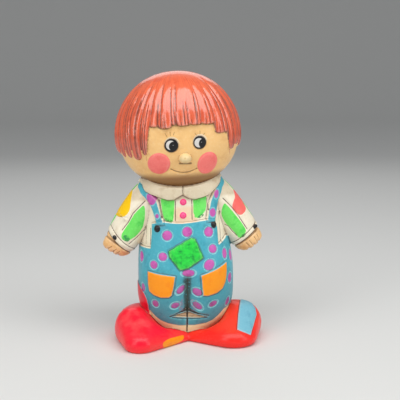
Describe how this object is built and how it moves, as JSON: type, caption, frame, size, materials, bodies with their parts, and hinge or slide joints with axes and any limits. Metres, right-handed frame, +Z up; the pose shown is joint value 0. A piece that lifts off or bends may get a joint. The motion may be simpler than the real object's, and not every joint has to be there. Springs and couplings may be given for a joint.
{
  "type": "clown figurine",
  "caption": "Standing ceramic figurine of a boy clown in patched dungarees and big round shoes, for a shelf or table.",
  "frame": {"origin": "on the surface it stands on, under the middle of its box", "axes": "+Z up, the face looks along -Y, the figure's left hand is at +X"},
  "size_m": [0.12, 0.089, 0.2001],
  "materials": {
    "painted_ceramic": "hand-painted in many colours with a brown wash in the grooves, under a gloss varnish"
  },
  "bodies": {
    "root": {"clown_figurine": "painted_ceramic"}
  },
  "joints": []
}
